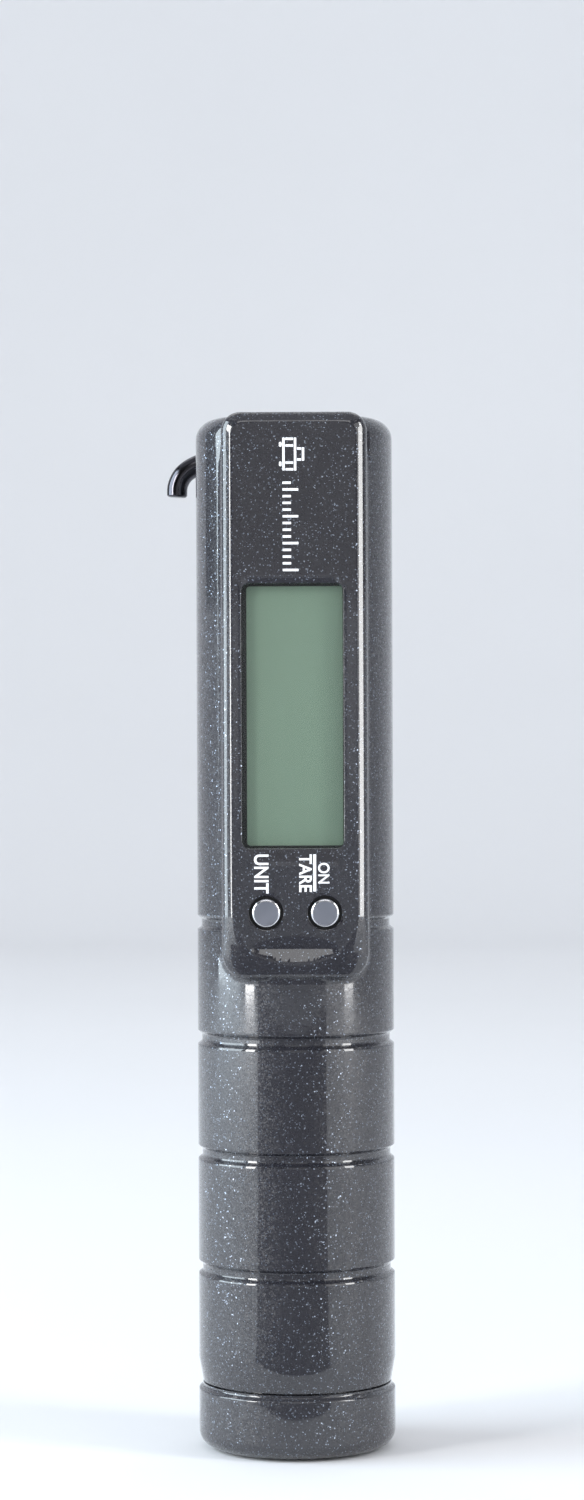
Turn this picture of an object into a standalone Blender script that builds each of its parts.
"""Digital luggage scale: a round bar that is held in the hand, with a display at one end of its front,
grip rings at the other end, and a J hook on a load post at the middle of its back.

The bar stands on its end cap. +Z runs up the bar towards the display end, -Y is the side the display
faces, and the origin is the middle of the end cap's flat bottom. All sizes are in metres.
"""

import math

import bmesh
import bpy
from mathutils import Matrix, Vector

# ---- Driving dimensions --------------------------------------------------------------------------

BAR_RADIUS = 0.01655
BAR_LENGTH = 0.1726
WALL = 0.0018
TOP_ROUND = 0.0034
BASE_ROUND = 0.0027
BAR_SIDES = 40
FIT = 0.0003                 # gap between pieces that touch
SEAM = 0.0001                # half the gap between the two housing shells

GROOVE_LOW = 0.0109          # the lowest ring is the seam of the end cap
GROOVE_PITCH = 0.0193
GROOVE_COUNT = 5
GROOVE_WIDTH = 0.0025
GROOVE_DEPTH = 0.0007

FACE_Y = -0.018              # the flat display face
FACE_ROOT_Y = -0.010         # how deep the raised face runs into the bar
FACE_HALF_WIDTH = 0.0121
FACE_FOOT_Z = 0.0792         # where the raised face drops back to the bar
FACE_CORNER = 0.0068
FACE_TOP_CORNER = 0.0032
FACE_BOW = 0.0010            # how far the foot's edge bows down
FACE_EDGE = 0.0018           # rounding of the face's long edges and foot

WINDOW_X = (-0.0087, 0.0080)  # the display opening
WINDOW_Z = (0.1009, 0.1443)
POCKET_X = 0.0102            # hollow behind the raised face
POCKET_Z = (0.0845, 0.1505)
POCKET_Y = -0.0171

BUTTON_X = 0.00482
BUTTON_Z = 0.0903
BUTTON_RADIUS = 0.00235
BUTTON_HOLE = 0.0028
BUTTON_TRAVEL_ROOM = 0.0008

NICK_TOP_Z = 0.0843          # finger nick below the buttons
NICK_HALF_WIDTH = 0.007
NICK_SAG = 0.0021
NICK_DEPTH = 0.0007

RECESS_Y = 0.011             # flat of the back, where the hook lies when it is folded up
RECESS_Z = 0.076
RECESS_WALL = 0.0015

PIVOT_Y = 0.0145             # hook hinge, along X
PIVOT_Z = 0.086
HOOK_WIRE = 0.00175
EYE_RADIUS = 0.003
EYE_HALF_WIDTH = 0.0021
PIN_RADIUS = 0.0012
PIN_HOLE = 0.00135
PIN_HEAD_X = (0.0045, 0.0054)
PIN_HEAD_RADIUS = 0.0019
EAR_X = (0.0023, 0.0043)
EAR_RADIUS = 0.0032

BEAM_X = 0.006
BEAM_Y = (-0.0036, 0.0074)
BEAM_Z = (0.080, 0.150)
PLATE_Y = (-0.0062, -0.0044)
PLATE_Z = (0.0643, 0.166)
PLATE_X = 0.0124
BOARD_Y = (-0.0098, -0.0086)
BOARD_Z = (0.0846, 0.154)
BOARD_X = 0.0104

CELL_X = 0.00575             # two AAA cells side by side
CELL_RADIUS = 0.00525
CELL_LENGTH = 0.0445
CELL_NUB = (0.0019, 0.0008)  # radius and height
CELL_LOW_Z = 0.0142

CAP_TOP_Z = GROOVE_LOW - FIT / 2
SPIGOT_RADIUS = 0.0143
SPIGOT_TOP_Z = 0.0152

SCREW_PLACES = {"lower": (0.0085, 0.073), "upper": (0.0092, 0.162)}
SCREW_SEAT_Y = 0.0095
SCREW_TIP_Y = -0.0112
SCREW_SHANK = 0.0011
SCREW_HEAD = (0.0021, 0.0014)

CAVITY_RADIUS = BAR_RADIUS - WALL
CAVITY_TOP = BAR_LENGTH - WALL

# ---- Collections and materials -------------------------------------------------------------------

for old in list(bpy.data.objects):
    bpy.data.objects.remove(old, do_unlink=True)

parts = bpy.data.collections.new("luggage_scale")
cutters = bpy.data.collections.new("cutters")
bpy.context.scene.collection.children.link(parts)
bpy.context.scene.collection.children.link(cutters)


def material(name, colour, metallic, roughness):
    mat = bpy.data.materials.new(name)
    mat.use_nodes = True
    shader = mat.node_tree.nodes["Principled BSDF"]
    shader.inputs["Base Color"].default_value = (*colour, 1.0)
    shader.inputs["Metallic"].default_value = metallic
    shader.inputs["Roughness"].default_value = roughness
    return mat


SHELL = material("slate_plastic", (0.055, 0.058, 0.080), 0.3, 0.35)
CLEAR = material("clear_plastic", (0.75, 0.80, 0.78), 0.0, 0.05)
DISPLAY = material("display_glass", (0.23, 0.33, 0.26), 0.0, 0.25)
BLACK = material("black_plastic", (0.02, 0.02, 0.022), 0.0, 0.5)
PALE = material("white_nylon", (0.70, 0.70, 0.68), 0.0, 0.5)
CHROME = material("chromed_plastic", (0.62, 0.63, 0.66), 1.0, 0.2)
GUNMETAL = material("gunmetal_steel", (0.13, 0.13, 0.145), 1.0, 0.28)
STEEL = material("zinc_steel", (0.55, 0.56, 0.58), 1.0, 0.35)
ALUMINIUM = material("aluminium", (0.70, 0.71, 0.72), 1.0, 0.4)
BOARD = material("circuit_board", (0.03, 0.16, 0.07), 0.0, 0.45)
FOIL = material("gauge_foil", (0.55, 0.30, 0.10), 0.2, 0.5)
RUBBER = material("black_rubber", (0.015, 0.015, 0.015), 0.0, 0.7)
CELL = material("cell_jacket", (0.08, 0.11, 0.24), 0.2, 0.35)
RED = material("red_insulation", (0.50, 0.02, 0.02), 0.0, 0.5)
DARK = material("black_insulation", (0.02, 0.02, 0.02), 0.0, 0.5)
GREY = material("grey_insulation", (0.35, 0.35, 0.37), 0.0, 0.5)

# ---- Shape helpers -------------------------------------------------------------------------------

TURN_TO = {
    "X": Matrix.Rotation(math.pi / 2, 4, "Y"),
    "Y": Matrix.Rotation(-math.pi / 2, 4, "X"),
    "Z": Matrix(),
}


def box(low, high):
    """A box between its lowest and highest corners."""

    def shape(bm):
        size = Vector(high) - Vector(low)
        made = bmesh.ops.create_cube(bm, size=1.0)
        bmesh.ops.scale(bm, vec=size, verts=made["verts"])
        bmesh.ops.translate(bm, vec=Vector(low) + size / 2, verts=made["verts"])

    return shape


def rod(axis, centre, start, end, radius, end_radius=None, sides=20):
    """A round rod along an axis, from start to end; centre places it across that axis."""

    def shape(bm):
        tip = radius if end_radius is None else end_radius
        made = bmesh.ops.create_cone(
            bm, cap_ends=True, segments=sides, radius1=radius, radius2=tip, depth=end - start
        )
        place = Vector(centre)
        place["XYZ".index(axis)] = (start + end) / 2
        bmesh.ops.transform(bm, matrix=Matrix.Translation(place) @ TURN_TO[axis], verts=made["verts"])

    return shape


def new_object(name, mesh, mat, collection):
    thing = bpy.data.objects.new(name, mesh)
    mesh.materials.append(mat)
    collection.objects.link(thing)
    if collection is cutters:
        thing.hide_render = True
        thing.display_type = "WIRE"
    return thing


def solid(name, shapes, mat=BLACK, collection=parts):
    """One object made of shapes that don't meet each other."""
    bm = bmesh.new()
    for shape in shapes:
        shape(bm)
    mesh = bpy.data.meshes.new(name)
    bm.to_mesh(mesh)
    bm.free()
    return new_object(name, mesh, mat, collection)


def smooth(thing, angle=35):
    thing.data.shade_smooth()
    thing.data.set_sharp_from_angle(angle=math.radians(angle))


def turned(name, profile, mat, sides=BAR_SIDES, collection=parts):
    """A solid turned about Z from (radius, height) points that run down its outer side."""
    mesh = bpy.data.meshes.new(name)
    points = [(radius, 0.0, height) for radius, height in profile]
    mesh.from_pydata(points, [(i, i + 1) for i in range(len(points) - 1)], [])
    thing = new_object(name, mesh, mat, collection)
    screw = thing.modifiers.new("Turn", "SCREW")
    screw.axis = "Z"
    screw.steps = sides
    screw.render_steps = sides
    screw.use_merge_vertices = True
    screw.merge_threshold = 0.00001
    screw.use_smooth_shade = True
    return thing


def boolean(thing, operation, *others):
    for other in others:
        step = thing.modifiers.new(f"{operation.title()} {other.name}", "BOOLEAN")
        step.operation = operation
        step.solver = "EXACT"
        step.object = other


def cut(thing, name, shapes):
    """Takes one group of separate shapes out of a piece."""
    boolean(thing, "DIFFERENCE", solid(f"cut_{name}", shapes, collection=cutters))


def join(thing, name, shapes):
    """Joins each shape of a list to a piece."""
    for number, shape in enumerate(shapes, 1):
        boolean(thing, "UNION", solid(f"join_{name}_{number}", [shape], collection=cutters))


def mesh_from_curve(curve, name, mat, collection):
    """Turns a curve object into a welded mesh object and removes the curve."""
    source = bpy.data.objects.new(f"{name}_curve", curve)
    bpy.context.scene.collection.objects.link(source)
    bpy.context.view_layer.update()
    depsgraph = bpy.context.evaluated_depsgraph_get()
    mesh = bpy.data.meshes.new_from_object(source.evaluated_get(depsgraph))
    place = source.matrix_world.copy()
    bpy.data.objects.remove(source, do_unlink=True)
    mesh.name = name
    mesh.materials.clear()
    bm = bmesh.new()
    bm.from_mesh(mesh)
    bmesh.ops.remove_doubles(bm, verts=bm.verts, dist=0.000005)
    bmesh.ops.recalc_face_normals(bm, faces=bm.faces)
    bm.to_mesh(mesh)
    bm.free()
    thing = new_object(name, mesh, mat, collection)
    thing.matrix_world = place
    return thing


def plate_outline(name, outline, low_y, high_y, mat, collection=parts):
    """A flat plate in the XZ plane, from (x, z) points, between two depths."""
    curve = bpy.data.curves.new(name, "CURVE")
    curve.dimensions = "2D"
    curve.fill_mode = "BOTH"
    curve.extrude = (high_y - low_y) / 2
    spline = curve.splines.new("POLY")
    spline.points.add(len(outline) - 1)
    for point, (x, z) in zip(spline.points, outline):
        point.co = (x, z, 0.0, 1.0)
    spline.use_cyclic_u = True
    thing = mesh_from_curve(curve, name, mat, collection)
    stand = Matrix.Translation((0, (low_y + high_y) / 2, 0)) @ Matrix.Rotation(math.pi / 2, 4, "X")
    thing.data.transform(stand)
    return thing


def wire(name, points, radius, mat, collection=parts, resolution=1):
    """A round wire along a list of points."""
    curve = bpy.data.curves.new(name, "CURVE")
    curve.dimensions = "3D"
    curve.bevel_depth = radius
    curve.bevel_resolution = resolution
    curve.use_fill_caps = True
    spline = curve.splines.new("POLY")
    spline.points.add(len(points) - 1)
    for point, place in zip(spline.points, points):
        point.co = (*place, 1.0)
    return mesh_from_curve(curve, name, mat, collection)


def through(points, steps):
    """A smooth path through points: a Catmull-Rom curve with a number of steps between each two."""
    ends = [2 * points[0] - points[1], *points, 2 * points[-1] - points[-2]]
    path = []
    for a, b, c, d in zip(ends, ends[1:], ends[2:], ends[3:]):
        for step in range(steps):
            t = step / steps
            path.append(
                (
                    2 * b
                    + (c - a) * t
                    + (2 * a - 5 * b + 4 * c - d) * t**2
                    + (3 * b - a - 3 * c + d) * t**3
                )
                / 2
            )
    path.append(points[-1].copy())
    return path


def arc(centre, radius, start, end, steps):
    """Points of an arc in a plane, from a start angle to an end angle in degrees."""
    angles = [math.radians(start + (end - start) * i / steps) for i in range(steps + 1)]
    return [(centre[0] + radius * math.cos(a), centre[1] + radius * math.sin(a)) for a in angles]


def set_origin(thing, point):
    """Puts a piece's origin on its joint's axis and leaves its shape where it is."""
    thing.data.transform(Matrix.Translation(-Vector(point)))
    thing.location = point


def at_screws(axis_start, axis_end, radius, which=("lower", "upper")):
    """One rod along Y at each housing screw."""
    places = [(side * SCREW_PLACES[row][0], SCREW_PLACES[row][1]) for row in which for side in (-1, 1)]
    return [rod("Y", (x, 0, z), axis_start, axis_end, radius, sides=12) for x, z in places]


# ---- Housing shells ------------------------------------------------------------------------------


def bar_profile():
    """The bar's outer line, from the middle of its top, down its side, to its seam with the end cap."""
    profile = [(0.0, BAR_LENGTH)]
    profile += arc((BAR_RADIUS - TOP_ROUND, BAR_LENGTH - TOP_ROUND), TOP_ROUND, 90, 0, 4)
    floor = BAR_RADIUS - GROOVE_DEPTH
    for ring in range(GROOVE_COUNT - 1, 0, -1):
        middle = GROOVE_LOW + ring * GROOVE_PITCH
        profile.append((BAR_RADIUS, middle + GROOVE_WIDTH / 2))
        profile.append((floor, middle + GROOVE_WIDTH / 4))
        profile.append((floor, middle - GROOVE_WIDTH / 4))
        profile.append((BAR_RADIUS, middle - GROOVE_WIDTH / 2))
    profile.append((BAR_RADIUS, GROOVE_LOW + GROOVE_WIDTH / 2))
    profile.append((floor, GROOVE_LOW + GROOVE_WIDTH / 4))
    profile.append((floor, GROOVE_LOW + FIT / 2))
    profile.append((0.0, GROOVE_LOW + FIT / 2))
    return profile


def raised_face():
    """The flat-faced block that carries the display, with a rounded foot and rounded long edges."""
    right = FACE_HALF_WIDTH - FACE_CORNER
    corner_z = FACE_FOOT_Z + FACE_BOW + FACE_CORNER
    foot_radius = (right**2 + FACE_BOW**2) / (2 * FACE_BOW)
    foot_sweep = 0.6 * math.degrees(math.asin(right / foot_radius))
    top_x = FACE_HALF_WIDTH - FACE_TOP_CORNER
    top_z = BAR_LENGTH - FACE_TOP_CORNER
    outline = arc((top_x, top_z), FACE_TOP_CORNER, 0, 90, 3)
    outline += arc((-top_x, top_z), FACE_TOP_CORNER, 90, 180, 3)
    outline += arc((-right, corner_z), FACE_CORNER, 180, 255, 5)
    outline += arc((0.0, FACE_FOOT_Z + foot_radius), foot_radius, 270 - foot_sweep, 270 + foot_sweep, 4)
    outline += arc((right, corner_z), FACE_CORNER, 285, 360, 5)
    block = plate_outline("raised_face", outline, FACE_Y, FACE_ROOT_Y, SHELL, cutters)
    edge = block.modifiers.new("Edge", "BEVEL")
    edge.width = FACE_EDGE
    edge.segments = 2
    edge.limit_method = "ANGLE"
    edge.angle_limit = math.radians(60)
    return block


def finger_nick():
    """A shallow crescent below the buttons, straight along its top and rising to its bowed lower edge."""
    radius = (NICK_HALF_WIDTH**2 + NICK_SAG**2) / (2 * NICK_SAG)
    half = math.degrees(math.asin(NICK_HALF_WIDTH / radius))
    centre = (0.0, NICK_TOP_Z - NICK_SAG + radius)
    outline = arc(centre, radius, 270 - half, 270 + half, 8)
    nick = plate_outline("finger_nick", outline, FACE_Y - 0.002, FACE_Y + NICK_DEPTH, SHELL, cutters)
    for vertex in nick.data.vertices:
        if vertex.co.y > FACE_Y:
            vertex.co.y -= NICK_DEPTH * (NICK_TOP_Z - vertex.co.z) / NICK_SAG
    return nick


def front_shell():
    shell = turned("front_shell", bar_profile(), SHELL)
    boolean(shell, "UNION", raised_face())
    hollow = rod("Z", (0, 0, 0), 0.0, CAVITY_TOP, CAVITY_RADIUS, sides=BAR_SIDES)
    cut(shell, "front_hollow", [hollow])
    pocket = box((-POCKET_X, POCKET_Y, POCKET_Z[0]), (POCKET_X, 0, POCKET_Z[1]))
    cut(shell, "front_pocket", [pocket])
    join(shell, "front_boss", at_screws(-0.0121, PLATE_Y[0] - FIT, 0.0026, ["lower"]))
    join(shell, "front_boss_upper", at_screws(-0.0130, PLATE_Y[0] - FIT, 0.0026, ["upper"]))
    cut(shell, "front_pilots", at_screws(-0.0115, 0, SCREW_SHANK + 0.00015))
    window = box((WINDOW_X[0], FACE_Y - 0.001, WINDOW_Z[0]), (WINDOW_X[1], POCKET_Y + 0.001, WINDOW_Z[1]))
    holes = [
        rod("Y", (side * BUTTON_X, 0, BUTTON_Z), FACE_Y - 0.001, POCKET_Y + 0.001, BUTTON_HOLE)
        for side in (-1, 1)
    ]
    cut(shell, "face_openings", [window, *holes])
    boolean(shell, "DIFFERENCE", finger_nick())
    reach = 0.03
    front_half = solid("front_half", [box((-reach, -reach, -reach), (reach, -SEAM, 0.2))], collection=cutters)
    boolean(shell, "INTERSECT", front_half)


def rear_shell():
    shell = turned("rear_shell", bar_profile(), SHELL)
    reach = 0.03
    cut(shell, "hook_recess", [box((-reach, RECESS_Y, RECESS_Z), (reach, reach, 0.2))])
    hollow_shape = rod("Z", (0, 0, 0), 0.0, CAVITY_TOP, CAVITY_RADIUS, sides=BAR_SIDES)
    hollow = solid("rear_hollow", [hollow_shape], collection=cutters)
    wall_y = RECESS_Y - RECESS_WALL
    cut(hollow, "recess_floor", [box((-reach, wall_y, RECESS_Z - RECESS_WALL), (reach, reach, 0.2))])
    boolean(shell, "DIFFERENCE", hollow)
    rear_half = solid("rear_half", [box((-reach, SEAM, -reach), (reach, reach, 0.2))], collection=cutters)
    boolean(shell, "INTERSECT", rear_half)
    join(shell, "rear_boss", at_screws(PLATE_Y[1] + FIT, 0.0125, 0.0028, ["lower"]))
    join(shell, "rear_boss_upper", at_screws(PLATE_Y[1] + FIT, RECESS_Y - FIT, 0.0028, ["upper"]))
    cut(shell, "rear_screw_holes", at_screws(-0.006, 0.012, SCREW_SHANK + 0.0002))
    cut(shell, "rear_screw_heads", at_screws(SCREW_SEAT_Y - FIT / 2, 0.02, SCREW_HEAD[0] + FIT))
    room = 0.0006
    low = (-EAR_X[1] - room, 0.008, PIVOT_Z - EAR_RADIUS - room)
    high = (EAR_X[1] + room, 0.02, PIVOT_Z + EAR_RADIUS + room)
    cut(shell, "post_hole", [box(low, high)])


def housing_screws():
    """Four screws from the back that clamp the chassis plate between the bosses of the two shells."""
    head_radius, head_height = SCREW_HEAD
    for row, (x, z) in SCREW_PLACES.items():
        for side, name in ((-1, "left"), (1, "right")):
            place = (side * x, 0, z)
            screw = solid(
                f"housing_screw_{row}_{name}",
                [rod("Y", place, SCREW_SEAT_Y, SCREW_SEAT_Y + head_height, head_radius, sides=16)],
                STEEL,
            )
            shank = rod("Y", place, SCREW_TIP_Y, SCREW_SEAT_Y + 0.0002, SCREW_SHANK, sides=10)
            join(screw, f"shank_{row}_{name}", [shank])
            low = (side * x - 0.0015, SCREW_SEAT_Y + head_height - 0.0005, z - 0.0003)
            high = (side * x + 0.0015, SCREW_SEAT_Y + head_height + 0.001, z + 0.0003)
            cut(screw, f"slot_{row}_{name}", [box(low, high)])


front_shell()
rear_shell()
housing_screws()

# ---- Display, board and buttons ------------------------------------------------------------------

LENS_Y = (-0.0169, -0.0165)
DISPLAY_Y = (-0.0163, -0.0144)
DISPLAY_HALF = (0.009, 0.024)
LENS_HALF = (0.0096, 0.0248)
HOLDER_WALL = 0.0007
STRIP_HEIGHT = 0.0024
SWITCH_HALF = 0.0026
SWITCH_Y = BOARD_Y[0] - 0.0019
PLUNGER_RADIUS = 0.0011
PLUNGER_Y = (-0.0127, -0.0109)
BUTTON_FRONT_Y = -0.01845
BUTTON_CHAMFER = 0.0005
FLANGE_RADIUS = 0.0036
FLANGE_Y = (-0.0168, -0.0160)


def display():
    middle = (WINDOW_Z[0] + WINDOW_Z[1]) / 2
    half_x, half_z = DISPLAY_HALF
    lens_x, lens_z = LENS_HALF
    lens = box((-lens_x, LENS_Y[0], middle - lens_z), (lens_x, LENS_Y[1], middle + lens_z))
    solid("window_lens", [lens], CLEAR)
    panel = box((-half_x, DISPLAY_Y[0], middle - half_z), (half_x, DISPLAY_Y[1], middle + half_z))
    solid("lcd_panel", [panel], DISPLAY)
    inner_x = half_x + FIT / 2
    inner_z = half_z + FIT / 2
    outer_x = inner_x + HOLDER_WALL
    outer_z = inner_z + HOLDER_WALL
    frame_y = (DISPLAY_Y[0], BOARD_Y[0] - FIT)
    holder = box((-outer_x, frame_y[0], middle - outer_z), (outer_x, frame_y[1], middle + outer_z))
    frame = solid("lcd_frame", [holder], PALE)
    opening = box((-inner_x, -0.02, middle - inner_z), (inner_x, 0, middle + inner_z))
    cut(frame, "lcd_frame_opening", [opening])
    strip_y = (DISPLAY_Y[1] + FIT / 2, BOARD_Y[0] - FIT / 2)
    for name, low in (("lower", middle - half_z + FIT), ("upper", middle + half_z - FIT - STRIP_HEIGHT)):
        strip = box((-half_x + 0.0006, strip_y[0], low), (half_x - 0.0006, strip_y[1], low + STRIP_HEIGHT))
        solid(f"contact_strip_{name}", [strip], RUBBER)


def main_board():
    sheet = box((-BOARD_X, BOARD_Y[0], BOARD_Z[0]), (BOARD_X, BOARD_Y[1], BOARD_Z[1]))
    board = solid("main_board", [sheet], BOARD)
    corner_cut = 0.003
    notches = []
    for x in (-BOARD_X, BOARD_X):
        notches.append(box((x - corner_cut, -0.02, BOARD_Z[1] - corner_cut), (x + corner_cut, 0, 0.2)))
    cut(board, "board_notches", notches)
    chip_z = 0.122
    chip_profile = [(0.0, 0.0), (0.0025, -0.0002), (0.004, -0.0008), (0.0046, -0.0016), (0.0, -0.0016)]
    chip = turned("chip_cover", chip_profile, BLACK, sides=20)
    chip.rotation_euler = (math.pi / 2, 0.0, 0.0)
    chip.location = (0.0, BOARD_Y[0] - 0.0016 - 0.00015, chip_z)
    crystal = rod("Z", (0.0075, BOARD_Y[1] + 0.0012, 0), 0.110, 0.116, 0.001, sides=12)
    solid("timing_crystal", [crystal], STEEL)


def button(name, side):
    """A button whose flange is held behind the face, and the plunger and switch that it works."""
    x = side * BUTTON_X
    place = (x, 0, BUTTON_Z)
    chamfer_y = BUTTON_FRONT_Y + BUTTON_CHAMFER
    cap = solid(
        f"{name}_button",
        [rod("Y", place, BUTTON_FRONT_Y, chamfer_y, BUTTON_RADIUS - BUTTON_CHAMFER - 0.0001, BUTTON_RADIUS)],
        CHROME,
    )
    join(
        cap,
        name,
        [
            rod("Y", place, chamfer_y, FLANGE_Y[0] + 0.0002, BUTTON_RADIUS),
            rod("Y", place, FLANGE_Y[0], FLANGE_Y[1], FLANGE_RADIUS),
            rod("Y", place, FLANGE_Y[1] - 0.0002, PLUNGER_Y[0] - 0.0002, 0.0015, sides=16),
        ],
    )
    set_origin(cap, (x, BUTTON_FRONT_Y, BUTTON_Z))
    plunger = solid(f"{name}_plunger", [rod("Y", place, *PLUNGER_Y, PLUNGER_RADIUS, sides=16)], DARK)
    set_origin(plunger, (x, PLUNGER_Y[0], BUTTON_Z))
    half = SWITCH_HALF
    body = box((x - half, SWITCH_Y, BUTTON_Z - half), (x + half, BOARD_Y[0] - FIT / 2, BUTTON_Z + half))
    switch = solid(f"{name}_switch", [body], BLACK)
    hole_end = PLUNGER_Y[1] + BUTTON_TRAVEL_ROOM
    hole = rod("Y", place, -0.013, hole_end, PLUNGER_RADIUS + 0.00025, sides=16)
    cut(switch, f"{name}_plunger_hole", [hole])


display()
main_board()
button("unit", -1)
button("tare", 1)

# ---- Weighing parts ------------------------------------------------------------------------------

STUD_RADIUS = 0.002
STUD_END_Y = -0.0068
NUT_Y = (-0.0062, -0.0041)
POST_FLANGE = (0.0065, 0.0055)
BEAM_SCREW_Z = (0.135, 0.145)
FLEXURE_Z = (0.108, 0.120)
FLEXURE_RADIUS = 0.0042
GAUGE_HALF_WIDTH = 0.003
GAUGE_THICKNESS = 0.00025
GLUE = 0.0001
SPACER_X = 0.0055
SPACER_Z = (0.131, 0.1495)


def load_cell():
    """An aluminium bending beam: its upper end is screwed to the chassis plate, and its lower end
    carries the post."""
    bar = box((-BEAM_X, BEAM_Y[0], BEAM_Z[0]), (BEAM_X, BEAM_Y[1], BEAM_Z[1]))
    beam = solid("load_cell", [bar], ALUMINIUM)
    middle_y = (BEAM_Y[0] + BEAM_Y[1]) / 2
    cut(beam, "flexure_holes", [rod("X", (0, middle_y, z), -0.01, 0.01, FLEXURE_RADIUS) for z in FLEXURE_Z])
    cut(beam, "stud_hole", [rod("Y", (0, 0, PIVOT_Z), -0.01, 0.01, STUD_RADIUS + FIT)])
    cut(beam, "beam_screw_holes", [rod("Y", (0, 0, z), -0.01, 0.005, 0.0017, sides=12) for z in BEAM_SCREW_Z])
    half = GAUGE_HALF_WIDTH
    for name, low_y in (("front", BEAM_Y[0] - GLUE - GAUGE_THICKNESS), ("rear", BEAM_Y[1] + GLUE)):
        low = (-half, low_y, FLEXURE_Z[0] - half)
        high = (half, low_y + GAUGE_THICKNESS, FLEXURE_Z[1] + half)
        solid(f"strain_gauge_{name}", [box(low, high)], FOIL)


def chassis_plate():
    plate = solid(
        "chassis_plate", [box((-PLATE_X, PLATE_Y[0], PLATE_Z[0]), (PLATE_X, PLATE_Y[1], PLATE_Z[1]))], STEEL
    )
    holes = at_screws(-0.01, 0, SCREW_SHANK + FIT)
    holes += [rod("Y", (0, 0, z), -0.01, 0, 0.0017, sides=12) for z in BEAM_SCREW_Z]
    holes += [rod("Y", (0, 0, PIVOT_Z), -0.01, 0, 0.0055, sides=20)]
    holes += [rod("Y", (side * 0.0048, 0, 0.0755), -0.01, 0, 0.0023, sides=12) for side in (-1, 1)]
    holes += [rod("Y", (0.0091, 0, 0.1290), -0.01, 0, 0.0022, sides=12)]
    cut(plate, "plate_holes", holes)
    spacer_y = (PLATE_Y[1] + GLUE, BEAM_Y[0] - GLUE)
    block = box((-SPACER_X, spacer_y[0], SPACER_Z[0]), (SPACER_X, spacer_y[1], SPACER_Z[1]))
    spacer = solid("beam_spacer", [block], STEEL)
    cut(spacer, "spacer_holes", [rod("Y", (0, 0, z), -0.01, 0, 0.0017, sides=16) for z in BEAM_SCREW_Z])
    for name, z in zip(("lower", "upper"), BEAM_SCREW_Z):
        head = rod("Y", (0, 0, z), -0.0084, PLATE_Y[0] - 0.0001, 0.0027, sides=16)
        screw = solid(f"beam_screw_{name}", [head], STEEL)
        join(screw, f"beam_screw_{name}_shank", [rod("Y", (0, 0, z), -0.0068, 0.0045, 0.0015, sides=12)])


def load_post():
    """A forked post that comes out through the back and holds the hook's pin, with a stud into the beam."""
    flange_x, flange_z = POST_FLANGE
    inner = BEAM_Y[1] + FIT
    outer = RECESS_Y - RECESS_WALL - FIT
    flange = box((-flange_x, inner, PIVOT_Z - flange_z), (flange_x, outer, PIVOT_Z + flange_z))
    post = solid("load_post", [flange], GUNMETAL)
    neck = box((-EAR_X[1], outer - 0.0002, PIVOT_Z - EAR_RADIUS), (EAR_X[1], PIVOT_Y, PIVOT_Z + EAR_RADIUS))
    ears = rod("X", (0, PIVOT_Y, PIVOT_Z), -EAR_X[1], EAR_X[1], EAR_RADIUS, sides=28)
    stud = rod("Y", (0, 0, PIVOT_Z), STUD_END_Y, inner + 0.0002, STUD_RADIUS, sides=20)
    join(post, "post", [neck, ears, stud])
    slot_floor = PIVOT_Y - EYE_RADIUS - FIT
    cut(post, "post_slot", [box((-EAR_X[0], slot_floor, 0.07), (EAR_X[0], 0.03, 0.1))])
    cut(post, "post_pin_hole", [rod("X", (0, PIVOT_Y, PIVOT_Z), -0.01, 0.01, PIN_HOLE, sides=20)])
    nut = solid("post_nut", [rod("Y", (0, 0, PIVOT_Z), *NUT_Y, 0.004, sides=6)], STEEL)
    cut(nut, "post_nut_hole", [rod("Y", (0, 0, PIVOT_Z), -0.01, 0, STUD_RADIUS + 0.00015, sides=20)])
    washer = solid("post_washer", [rod("Y", (0, 0, PIVOT_Z), -0.004, -0.0037, 0.0044)], STEEL)
    cut(washer, "post_washer_hole", [rod("Y", (0, 0, PIVOT_Z), -0.01, 0, STUD_RADIUS + 0.0002, sides=20)])
    pin = solid("hook_pin", [rod("X", (0, PIVOT_Y, PIVOT_Z), -0.0052, 0.0052, PIN_RADIUS, sides=20)], STEEL)
    head_x, end_x = PIN_HEAD_X
    head_spans = ((-end_x, -head_x), (head_x, end_x))
    heads = [rod("X", (0, PIVOT_Y, PIVOT_Z), *span, PIN_HEAD_RADIUS, sides=20) for span in head_spans]
    join(pin, "hook_pin_head", heads)


HOOK_ROUTE = [               # (x, z) along the middle of the wire, from the eye to the tip
    (0.0, 0.0870),
    (0.0, 0.0930),
    (0.0030, 0.0990),
    (0.0072, 0.1050),
    (0.0082, 0.1130),
    (0.0082, 0.1330),
    (0.0082, 0.1510),
    (0.0070, 0.1600),
    (0.0030, 0.1661),
    (-0.0040, 0.1682),
    (-0.0110, 0.1677),
    (-0.0160, 0.1665),
    (-0.0188, 0.1649),
    (-0.0200, 0.1629),
    (-0.0202, 0.1607),
]


def hook():
    """A bent wire hook with a flattened eye; it lies in the back's recess and folds out on its pin."""
    path = through([Vector((x, PIVOT_Y, z)) for x, z in HOOK_ROUTE], 2)
    body = wire("hook", path, HOOK_WIRE, GUNMETAL, resolution=2)
    eye = rod("X", (0, PIVOT_Y, PIVOT_Z), -EYE_HALF_WIDTH, EYE_HALF_WIDTH, EYE_RADIUS, sides=28)
    join(body, "hook_eye", [eye])
    cut(body, "hook_pin_hole", [rod("X", (0, PIVOT_Y, PIVOT_Z), -0.01, 0.01, PIN_HOLE, sides=20)])
    set_origin(body, (0.0, PIVOT_Y, PIVOT_Z))


load_cell()
chassis_plate()
load_post()
hook()

# ---- Batteries, contacts and leads ---------------------------------------------------------------

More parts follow.
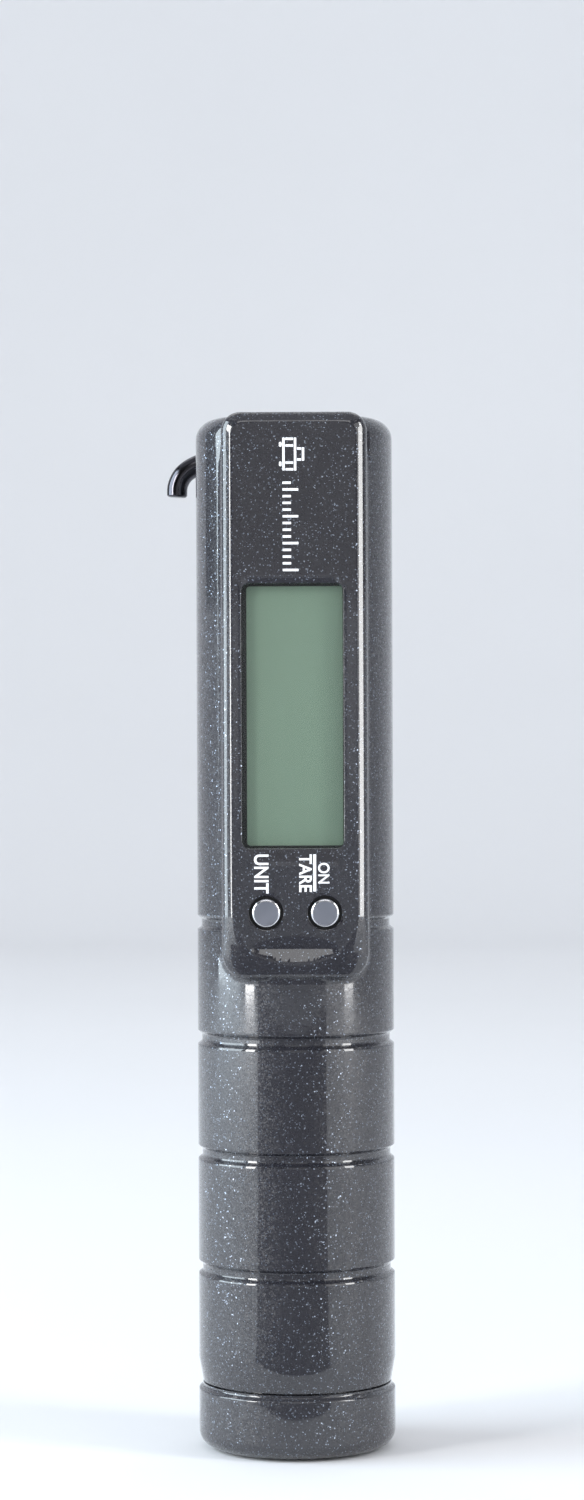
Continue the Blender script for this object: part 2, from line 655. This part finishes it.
CELLS = {"left": (-1, CELL_LOW_Z + 0.0030), "right": (1, CELL_LOW_Z)}   # side and height of the lower end
CRADLE_Z = (0.0174, 0.0638)    # its lower end stays above the cap's turning spring
CRADLE_FLOOR = 0.0014
CRADLE_HALF_DEPTH = 0.0066
CRADLE_RADIUS = 0.0143
CONTACT_RADIUS = 0.0042
CONTACT_Z = (0.0620, 0.0623)


def battery_cells():
    nub_radius, nub_height = CELL_NUB
    for name, (side, low) in CELLS.items():
        centre = (side * CELL_X, 0, 0)
        nub_up = side < 0
        if nub_up:
            body_z = (low, low + CELL_LENGTH - nub_height)
            nub_z = (body_z[1] - 0.0002, body_z[1] + nub_height)
        else:
            body_z = (low + nub_height, low + CELL_LENGTH)
            nub_z = (body_z[0] - nub_height, body_z[0] + 0.0002)
        cell = solid(f"battery_cell_{name}", [rod("Z", centre, *body_z, CELL_RADIUS)], CELL)
        join(cell, f"nub_{name}", [rod("Z", centre, *nub_z, nub_radius, sides=16)])


def battery_cradle():
    """A round block with two bores for the cells, closed at its upper end where the fixed contacts sit."""
    cradle = solid("battery_cradle", [rod("Z", (0, 0, 0), *CRADLE_Z, CRADLE_RADIUS, sides=BAR_SIDES)], BLACK)
    half = CRADLE_HALF_DEPTH
    flats = [
        box((-0.02, half, 0.0), (0.02, 0.02, 0.1)),
        box((-0.02, -0.02, 0.0), (0.02, -half, 0.1)),
    ]
    cut(cradle, "cradle_flats", flats)
    bore = CELL_RADIUS + 0.0002
    sides = (-1, 1)
    cut(
        cradle,
        "cell_bores",
        [rod("Z", (side * CELL_X, 0, 0), 0.01, CRADLE_Z[1] - CRADLE_FLOOR, bore, sides=28) for side in sides],
    )
    lead_holes = [rod("Z", (side * CELL_X, 0, 0), 0.05, 0.07, 0.001, sides=12) for side in sides]
    cut(cradle, "lead_holes", lead_holes)


def spring(name, centre, low, high, low_radius, high_radius, mat=STEEL):
    """A conical coil spring with a closed, flattened turn at each end."""
    turns = 3
    per_turn = 10
    total = turns * per_turn
    points = []
    for i in range(total + 1):
        share = i / total
        angle = 2 * math.pi * turns * share
        radius = low_radius + (high_radius - low_radius) * share
        x = centre[0] + radius * math.cos(angle)
        y = centre[1] + radius * math.sin(angle)
        points.append(Vector((x, y, low + (high - low) * share)))
    return wire(name, points, 0.00025, mat, resolution=1)


def contacts():
    for name, side in (("positive", -1), ("negative", 1)):
        contact = solid(
            f"{name}_contact", [rod("Z", (side * CELL_X, 0, 0), *CONTACT_Z, CONTACT_RADIUS)], STEEL
        )
        cut(contact, f"{name}_contact_hole", [rod("Z", (side * CELL_X, 0, 0), 0.06, 0.07, 0.0008, sides=12)])
    right_top = CELLS["right"][1] + CELL_LENGTH
    spring("negative_spring", (CELL_X, 0), right_top + 0.0004, CONTACT_Z[0] - 0.0004, 0.0018, 0.0034)


def leads():
    """Insulated leads, held all the way inside the housing."""
    behind_board = BOARD_Y[1] + 0.0009
    for name, side, mat in (("red", -1, RED), ("black", 1, DARK)):
        route = [
            (side * CELL_X, 0.0, 0.0625),
            (side * 0.0056, 0.0, 0.0643),
            (side * 0.0040, -0.0004, 0.0674),
            (side * 0.0036, -0.0018, 0.0710),
            (side * 0.0044, -0.0050, 0.0748),
            (side * 0.0056, -0.0074, 0.0782),
            (side * 0.0076, behind_board, 0.0820),
            (side * 0.0082, behind_board, 0.0905),
        ]
        wire(f"battery_lead_{name}", through([Vector(p) for p in route], 2), 0.00055, mat)
    route = [
        (0.0018, BEAM_Y[1] + 0.0010, 0.1140),
        (0.0050, BEAM_Y[1] + 0.0012, 0.1160),
        (0.0076, 0.0070, 0.1185),
        (0.0084, 0.0030, 0.1215),
        (0.0090, -0.0010, 0.1250),
        (0.0095, -0.0048, 0.1279),
        (0.0088, -0.0071, 0.1310),
        (0.0070, behind_board, 0.1350),
        (0.0066, behind_board, 0.1400),
    ]
    wire("gauge_lead", through([Vector(p) for p in route], 2), 0.0007, GREY)


battery_cells()
battery_cradle()
contacts()
leads()

# ---- End cap -------------------------------------------------------------------------------------

CAP_FLOOR = 0.0022
CAP_BORE = 0.0125
SEAL_Z = 0.0131
SEAL_WIRE = 0.0006
SEAL_GROOVE = 0.00095
CARRIER_Z = (0.0110, 0.0128)
BRIDGE_Z = (0.0130, 0.0135)
BRIDGE_HALF_WIDTH = 0.0036


def end_cap():
    """A twist-off cap with a spigot inside the shells; its flat bottom is the bar's foot."""
    floor = BAR_RADIUS - GROOVE_DEPTH
    groove = SEAL_GROOVE
    profile = [
        (0.0, SPIGOT_TOP_Z),
        (SPIGOT_RADIUS - 0.0004, SPIGOT_TOP_Z),
        (SPIGOT_RADIUS, SPIGOT_TOP_Z - 0.0004),
        (SPIGOT_RADIUS, SEAL_Z + groove),
        (SPIGOT_RADIUS - groove, SEAL_Z + groove),
        (SPIGOT_RADIUS - groove, SEAL_Z - groove),
        (SPIGOT_RADIUS, SEAL_Z - groove),
        (SPIGOT_RADIUS, CAP_TOP_Z),
        (floor, CAP_TOP_Z),
        (floor, GROOVE_LOW - GROOVE_WIDTH / 4),
        (BAR_RADIUS, GROOVE_LOW - GROOVE_WIDTH / 2),
    ]
    profile += arc((BAR_RADIUS - BASE_ROUND, BASE_ROUND), BASE_ROUND, 0, -90, 4)
    profile += [(0.0, 0.0)]
    cap = turned("end_cap", profile, SHELL)
    cut(cap, "cap_hollow", [rod("Z", (0, 0, 0), CAP_FLOOR, 0.02, CAP_BORE, sides=BAR_SIDES)])


def cap_inside():
    carrier = solid("contact_carrier", [rod("Z", (0, 0, 0), *CARRIER_Z, CAP_BORE - 0.0002, sides=32)], BLACK)
    leg = rod("Z", (0, 0, 0), CAP_FLOOR + 0.0001, CARRIER_Z[0] + 0.0002, 0.0045, sides=20)
    join(carrier, "carrier_leg", [leg])
    reach_x = CELL_X + CONTACT_RADIUS
    bridge = box((-reach_x, -BRIDGE_HALF_WIDTH, BRIDGE_Z[0]), (reach_x, BRIDGE_HALF_WIDTH, BRIDGE_Z[1]))
    solid("cell_bridge", [bridge], STEEL)
    left_low = CELLS["left"][1]
    spring("cap_spring", (-CELL_X, 0), BRIDGE_Z[1] + 0.0004, left_low - 0.0005, 0.0034, 0.0018)
    bpy.ops.mesh.primitive_torus_add(
        major_segments=BAR_SIDES,
        minor_segments=6,
        major_radius=SPIGOT_RADIUS - SEAL_GROOVE + SEAL_WIRE + 0.00005,
        minor_radius=SEAL_WIRE,
        location=(0, 0, SEAL_Z),
    )
    seal = bpy.context.object
    seal.name = "cap_seal"
    seal.data.materials.append(RUBBER)
    for collection in seal.users_collection:
        collection.objects.unlink(seal)
    parts.objects.link(seal)


end_cap()
cap_inside()

for piece in parts.objects:
    smooth(piece)
